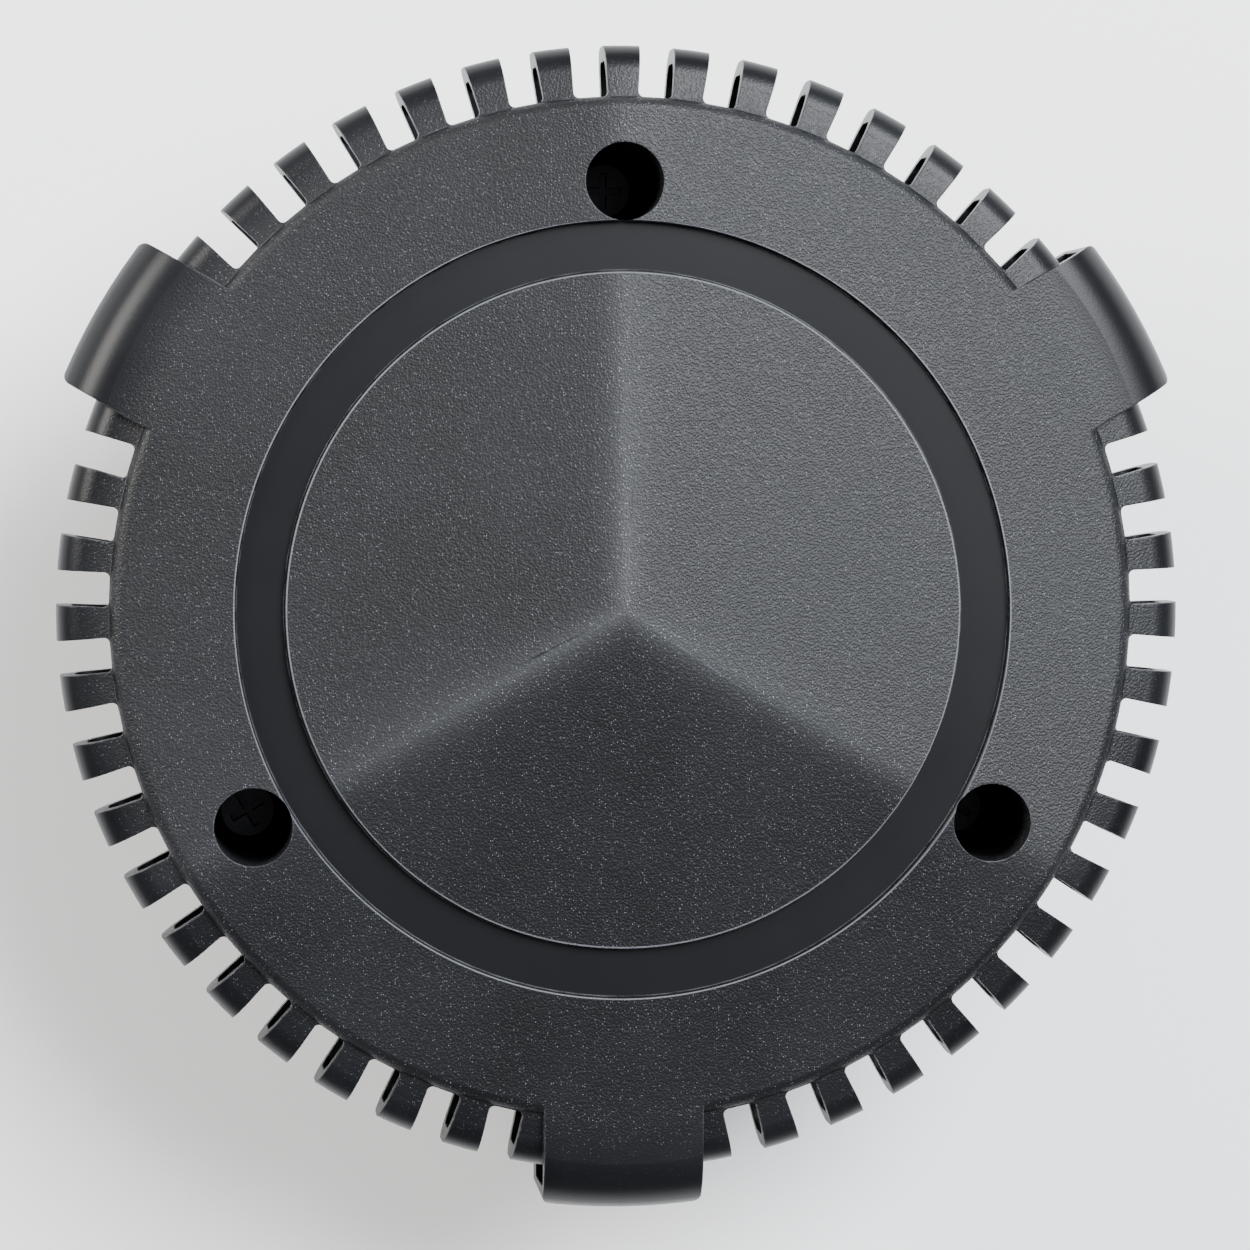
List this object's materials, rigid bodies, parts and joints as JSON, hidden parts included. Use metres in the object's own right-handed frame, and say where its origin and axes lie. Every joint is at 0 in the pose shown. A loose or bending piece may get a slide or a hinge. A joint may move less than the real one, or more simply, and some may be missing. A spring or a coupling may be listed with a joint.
{
  "type": "wave maker pump",
  "caption": "Round submersible aquarium wave maker pump: slotted radial intake under a closed rear cover, sealed hub motor with propeller, guide vanes and a twist-off outlet guard.",
  "frame": {"origin": "middle of the outlet guard's resting face, on the pump's axis", "axes": "+Z along the pump's axis from the outlet to the closed rear cover, -Y towards the cable gland and one of the lugs"},
  "size_m": [0.12, 0.1241, 0.06],
  "materials": {
    "cover_plastic": "fine spark-eroded grain",
    "housing_plastic": "satin moulded",
    "guard_plastic": "satin moulded",
    "well_plastic": "satin moulded",
    "seal_rubber": "matt",
    "screw_steel": "satin",
    "core_steel": "laminated",
    "bobbin_plastic": "moulded",
    "coil_copper": "enamelled wire",
    "board_laminate": "solder mask",
    "chip_plastic": "moulded",
    "magnet_ferrite": "ground ferrite",
    "rotor_plastic": "moulded",
    "bush_ceramic": "polished bore",
    "shaft_ceramic": "polished",
    "washer_plastic": "smooth",
    "cup_rubber": "matt",
    "propeller_plastic": "satin moulded",
    "gland_plastic": "moulded"
  },
  "bodies": {
    "housing": {"rear_cover": "cover_plastic", "front_housing": "housing_plastic", "diffuser": "housing_plastic", "rotor_well": "well_plastic", "well_seal": "seal_rubber", "well_screws": "screw_steel", "case_screws": "screw_steel", "stator_core": "core_steel", "coil_bobbins": "bobbin_plastic", "stator_coils": "coil_copper", "sensor_board": "board_laminate", "hall_sensors": "chip_plastic", "shaft": "shaft_ceramic", "front_washer": "washer_plastic", "rear_washer": "washer_plastic", "front_shaft_cup": "cup_rubber", "rear_shaft_cup": "cup_rubber", "gland_body": "gland_plastic", "gland_nut": "gland_plastic", "gland_washer": "seal_rubber", "gland_grommet": "seal_rubber"},
    "rotor": {"rotor_magnet": "magnet_ferrite", "rotor_core": "rotor_plastic", "front_bush": "bush_ceramic", "rear_bush": "bush_ceramic", "propeller": "propeller_plastic", "propeller_nut": "rotor_plastic"},
    "guard": {"outlet_guard": "guard_plastic"}
  },
  "joints": [
    {"name": "rotor_spin", "type": "hinge", "parent": "housing", "child": "rotor", "pos_m": [0, 0, 0.036], "axis": [0, 0, 1], "continuous": true},
    {"name": "guard_twist", "type": "hinge", "parent": "housing", "child": "guard", "pos_m": [0, 0, 0], "axis": [0, 0, 1], "range_deg": [0, 18]}
  ]
}
